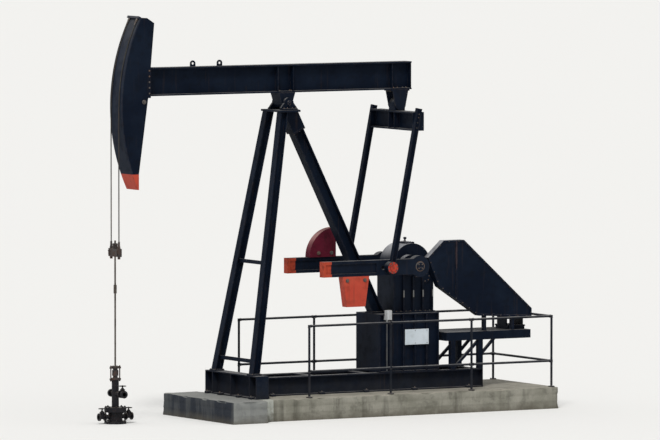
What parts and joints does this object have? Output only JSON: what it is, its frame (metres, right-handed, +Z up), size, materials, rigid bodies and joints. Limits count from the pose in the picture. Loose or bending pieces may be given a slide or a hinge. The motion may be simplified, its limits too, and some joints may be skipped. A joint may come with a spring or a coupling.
{
  "type": "pumpjack",
  "caption": "Walking-beam pumping unit with horsehead, three-legged post, cranks, gear reducer and belt guard on a skid and concrete base, with guard rails and a well head.",
  "frame": {"origin": "on the ground under the centre bearing, in the middle of the machine's width", "axes": "+X along the walking beam from the well towards the motor, +Y across towards the far crank, +Z up"},
  "size_m": [10.58, 3.08, 8.6182],
  "materials": {
    "concrete": "rough weathered concrete",
    "black_paint": "dusty blue-black paint",
    "black_casting": "painted casting",
    "orange_paint": "worn orange-red paint",
    "orange_casting": "worn orange-red paint on a casting",
    "maroon_casting": "faded dark red paint on a casting",
    "pale_enamel": "pale grey enamel",
    "rusty_steel": "dark rusty steel",
    "wire_rope": "greased wire rope",
    "polished_steel": "bright turned steel"
  },
  "bodies": {
    "frame": {"foundation": "concrete", "front_cross_beam": "black_paint", "skid_rail_near": "black_paint", "skid_rail_far": "black_paint", "skid_cross_members": "black_paint", "samson_leg_near": "black_paint", "samson_leg_far": "black_paint", "samson_rear_leg": "black_paint", "samson_braces": "black_paint", "samson_top_plate": "black_paint", "center_bearing_base": "black_paint", "reducer_pedestal": "black_paint", "switch_box": "pale_enamel", "reducer_housing": "black_casting", "reducer_cover": "black_casting", "belt_guard": "black_paint", "motor_platform": "black_paint", "motor": "black_casting", "guard_rail_near": "black_paint", "guard_rail_far": "black_paint", "guard_rail_rear": "black_paint", "casing_head": "rusty_steel", "tubing_tee": "rusty_steel", "stuffing_box": "rusty_steel"},
    "beam": {"walking_beam": "black_paint", "saddle_bearing": "black_casting", "horsehead_frame": "black_paint", "horsehead_face": "black_paint", "horsehead_toe": "orange_paint", "bridle_wrap": "wire_rope", "lifting_lugs": "black_paint", "equalizer_bracket": "black_casting"},
    "pitmans": {"equalizer_beam": "black_paint", "pitman_near": "black_paint", "pitman_far": "black_paint", "wrist_bearings": "orange_paint"},
    "cranks": {"crankshaft": "polished_steel", "crank_near": "black_casting", "crank_far": "black_casting", "counterweight_near": "orange_casting", "counterweight_far": "maroon_casting"},
    "rod": {"bridle_cables": "wire_rope", "carrier_bar": "rusty_steel", "polished_rod": "polished_steel", "rod_clamp": "rusty_steel"}
  },
  "joints": [
    {"name": "beam_rock", "type": "hinge", "parent": "frame", "child": "beam", "pos_m": [0, 0, 6.7], "axis": [0, 1, 0], "range_deg": [-17, 14.4]},
    {"name": "pitman_swing", "type": "hinge", "parent": "beam", "child": "pitmans", "pos_m": [2.82, 0, 6.6], "axis": [0, 1, 0], "range_deg": [-14.41, 17.01]},
    {"name": "crank_turn", "type": "hinge", "parent": "frame", "child": "cranks", "pos_m": [2.9, 0, 3.15], "axis": [0, 1, 0], "range_deg": [-53.9, 63.6]},
    {"name": "rod_lift", "type": "slide", "parent": "frame", "child": "rod", "axis": [0, 0, 1], "range_m": [-1.21, 1.025]}
  ],
  "couplings": [
    {"joint": "pitman_swing", "follows": "beam_rock", "ratio": -1},
    {"joint": "crank_turn", "follows": "beam_rock", "ratio": -3.74},
    {"joint": "rod_lift", "follows": "beam_rock", "m_per_rad": 4.073}
  ]
}
